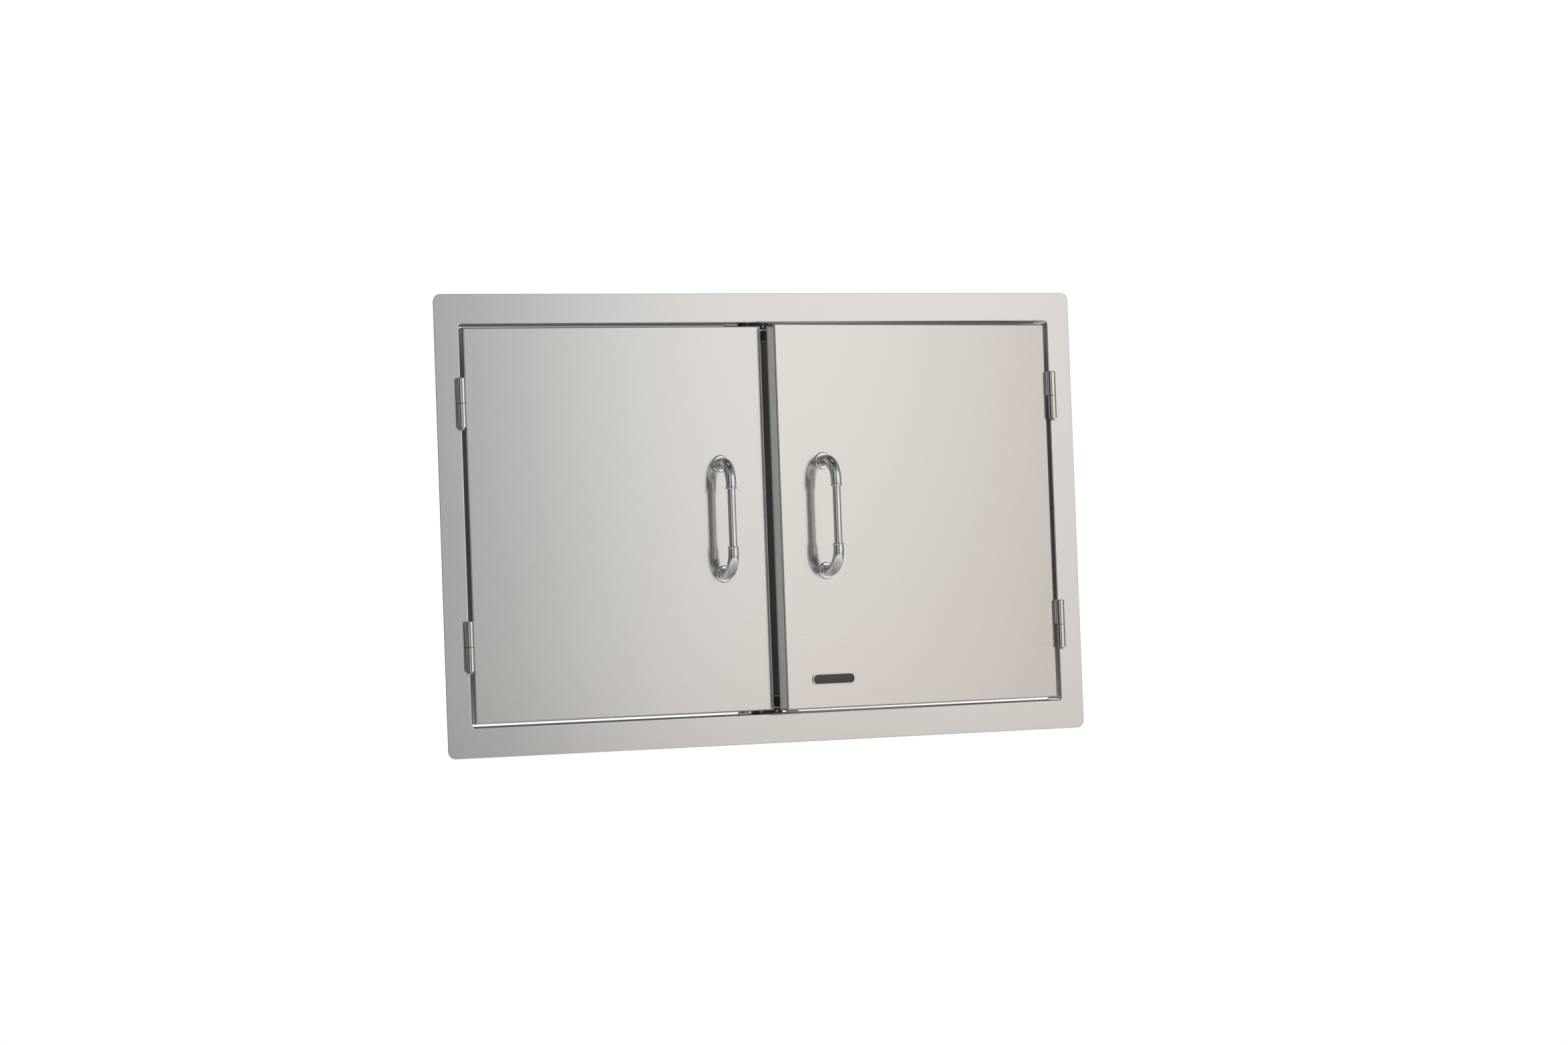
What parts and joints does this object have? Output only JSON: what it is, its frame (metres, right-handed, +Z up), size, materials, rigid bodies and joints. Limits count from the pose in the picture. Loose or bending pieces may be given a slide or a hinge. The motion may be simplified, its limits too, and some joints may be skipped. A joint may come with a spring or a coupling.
{
  "type": "double access door",
  "caption": "Flush double access door for an outdoor-kitchen island: folded stainless face frame, double-walled doors, lift-off hinges, bar handles and magnetic catches.",
  "frame": {"origin": "middle of the island's cut-out, on the plane of the island's wall, which the back of the flange lies against", "axes": "+X to the right as one faces the doors, +Y into the island, +Z up"},
  "size_m": [0.8382, 0.1114, 0.5588],
  "materials": {
    "frame_steel": "satin stainless, grain running left to right",
    "door_steel": "satin stainless, grain running left to right",
    "liner_steel": "mill-finish stainless",
    "hinge_steel": "polished stainless",
    "pin_steel": "turned stainless",
    "bracket_steel": "mill-finish stainless",
    "strike_steel": "magnetic stainless",
    "fastener_steel": "plain stainless",
    "handle_chrome": "mirror chrome",
    "magnet_black": "black ferrite in a moulded case",
    "washer_nylon": "black nylon"
  },
  "bodies": {
    "frame": {"face_frame": "frame_steel", "centre_stile": "bracket_steel", "stile_rivets": "fastener_steel", "frame_leaf_rivets": "fastener_steel", "catch_screws": "fastener_steel", "catch_rivets": "fastener_steel", "left_upper_frame_leaf": "hinge_steel", "left_lower_frame_leaf": "hinge_steel", "left_upper_hinge_pin": "pin_steel", "left_lower_hinge_pin": "pin_steel", "left_upper_hinge_washer": "washer_nylon", "left_lower_hinge_washer": "washer_nylon", "left_top_catch_bracket": "bracket_steel", "left_bottom_catch_bracket": "bracket_steel", "left_top_catch_magnet": "magnet_black", "left_bottom_catch_magnet": "magnet_black", "right_upper_frame_leaf": "hinge_steel", "right_lower_frame_leaf": "hinge_steel", "right_upper_hinge_pin": "pin_steel", "right_lower_hinge_pin": "pin_steel", "right_upper_hinge_washer": "washer_nylon", "right_lower_hinge_washer": "washer_nylon", "right_top_catch_bracket": "bracket_steel", "right_bottom_catch_bracket": "bracket_steel", "right_top_catch_magnet": "magnet_black", "right_bottom_catch_magnet": "magnet_black"},
    "left_door": {"left_door_skin": "door_steel", "left_door_liner": "liner_steel", "left_liner_rivets": "fastener_steel", "left_upper_door_leaf": "hinge_steel", "left_lower_door_leaf": "hinge_steel", "left_door_leaf_rivets": "fastener_steel", "left_top_strike_plate": "strike_steel", "left_bottom_strike_plate": "strike_steel", "left_upper_rosette": "handle_chrome", "left_lower_rosette": "handle_chrome", "left_upper_elbow": "handle_chrome", "left_lower_elbow": "handle_chrome", "left_grip_bar": "handle_chrome", "left_backing_plate": "bracket_steel", "left_handle_screws": "fastener_steel"},
    "right_door": {"right_door_skin": "door_steel", "right_door_liner": "liner_steel", "right_liner_rivets": "fastener_steel", "right_upper_door_leaf": "hinge_steel", "right_lower_door_leaf": "hinge_steel", "right_door_leaf_rivets": "fastener_steel", "right_top_strike_plate": "strike_steel", "right_bottom_strike_plate": "strike_steel", "right_upper_rosette": "handle_chrome", "right_lower_rosette": "handle_chrome", "right_upper_elbow": "handle_chrome", "right_lower_elbow": "handle_chrome", "right_grip_bar": "handle_chrome", "right_backing_plate": "bracket_steel", "right_handle_screws": "fastener_steel"}
  },
  "joints": [
    {"name": "left_door_swing", "type": "hinge", "parent": "frame", "child": "left_door", "pos_m": [-0.3893, -0.0075, 0], "axis": [0, 0, -1], "range_deg": [0, 170]},
    {"name": "right_door_swing", "type": "hinge", "parent": "frame", "child": "right_door", "pos_m": [0.3893, -0.0075, 0], "axis": [0, 0, 1], "range_deg": [-4.7, 165.3]}
  ]
}
